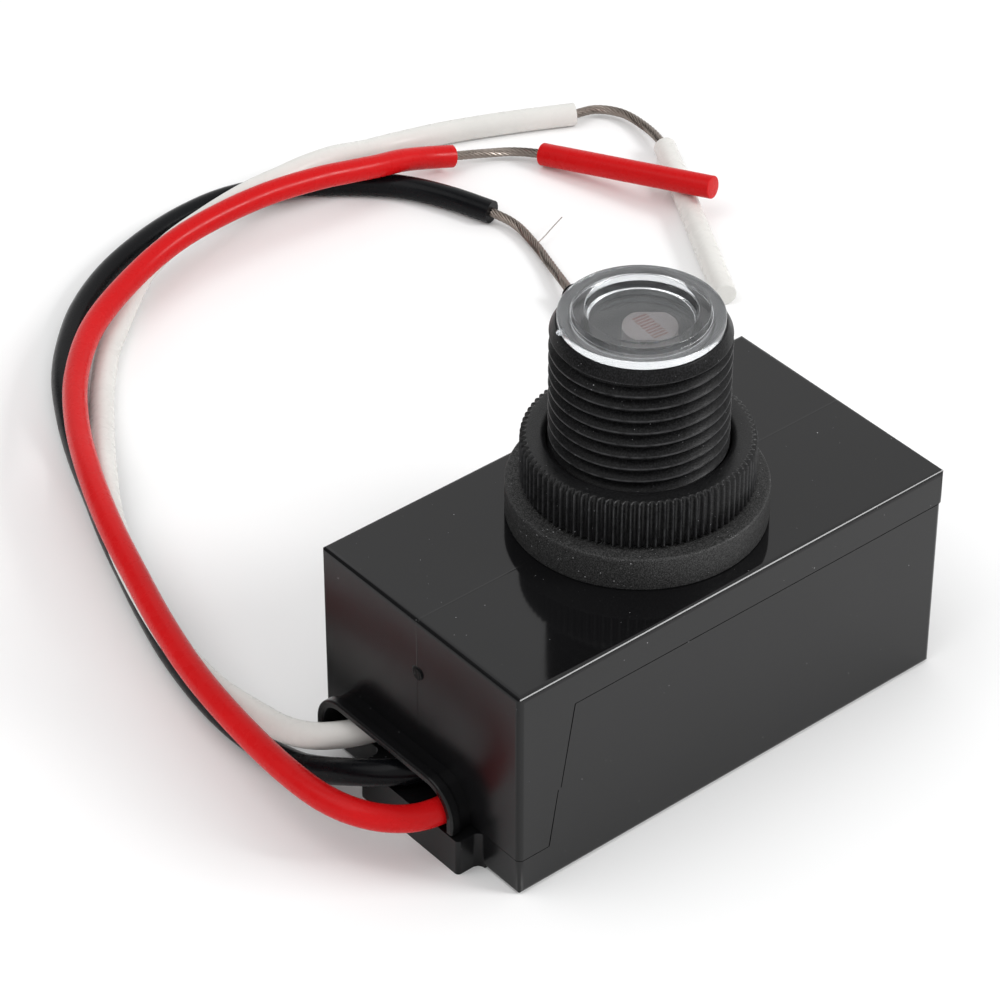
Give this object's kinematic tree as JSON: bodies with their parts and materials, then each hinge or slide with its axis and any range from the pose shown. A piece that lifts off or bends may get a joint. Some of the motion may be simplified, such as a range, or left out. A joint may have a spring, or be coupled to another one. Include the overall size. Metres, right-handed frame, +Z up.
{
  "type": "photocell switch",
  "caption": "Light-sensing switch: rectangular moulded housing with a threaded neck that holds the cell behind a clear cap, a knurled ring nut on a sealing washer, and stripped leads.",
  "frame": {"origin": "middle of the housing's bottom face, under the neck's axis", "axes": "+Z up along the threaded neck, +X along the housing away from the lead outlet, +Y across it towards the side where the leads lie"},
  "size_m": [0.104, 0.1076, 0.0459],
  "materials": {
    "housing": "gloss moulded",
    "washer": "matte",
    "cap": "milky translucent",
    "cell": "lacquered ceramic",
    "tinned_wire": "tinned copper strands",
    "sleeving": "woven",
    "board": "lacquered",
    "relay_case": "gloss moulded",
    "film_case": "epoxy dipped",
    "can": "sleeved can",
    "epoxy": "matte moulded",
    "diode_glass": "glass bead",
    "resistor_body": "lacquered",
    "varistor_coat": "epoxy dipped",
    "insulation_red": "semi-gloss PVC",
    "insulation_white": "semi-gloss PVC",
    "insulation_black": "semi-gloss PVC"
  },
  "bodies": {
    "housing": {"top_cover": "housing", "base": "housing", "sealing_washer": "washer", "clear_cap": "cap", "light_cell": "cell", "cell_wires": "tinned_wire", "cell_sleeves": "sleeving", "circuit_board": "board", "relay": "relay_case", "film_capacitor": "film_case", "electrolytic_capacitor": "can", "bridge_rectifier": "epoxy", "zener_diode": "diode_glass", "transistor": "epoxy", "resistors": "resistor_body", "varistor": "varistor_coat", "lead_joints": "tinned_wire", "lead_red": "insulation_red", "lead_red_strands": "tinned_wire", "lead_red_tip": "insulation_red", "lead_white": "insulation_white", "lead_white_strands": "tinned_wire", "lead_white_tip": "insulation_white", "lead_black": "insulation_black", "lead_black_strands": "tinned_wire", "lead_black_tip": "insulation_black"},
    "nut": {"ring_nut": "housing"}
  },
  "joints": [
    {"name": "nut_travel", "type": "slide", "parent": "housing", "child": "nut", "axis": [0, 0, 1], "range_m": [0, 0.011]}
  ]
}
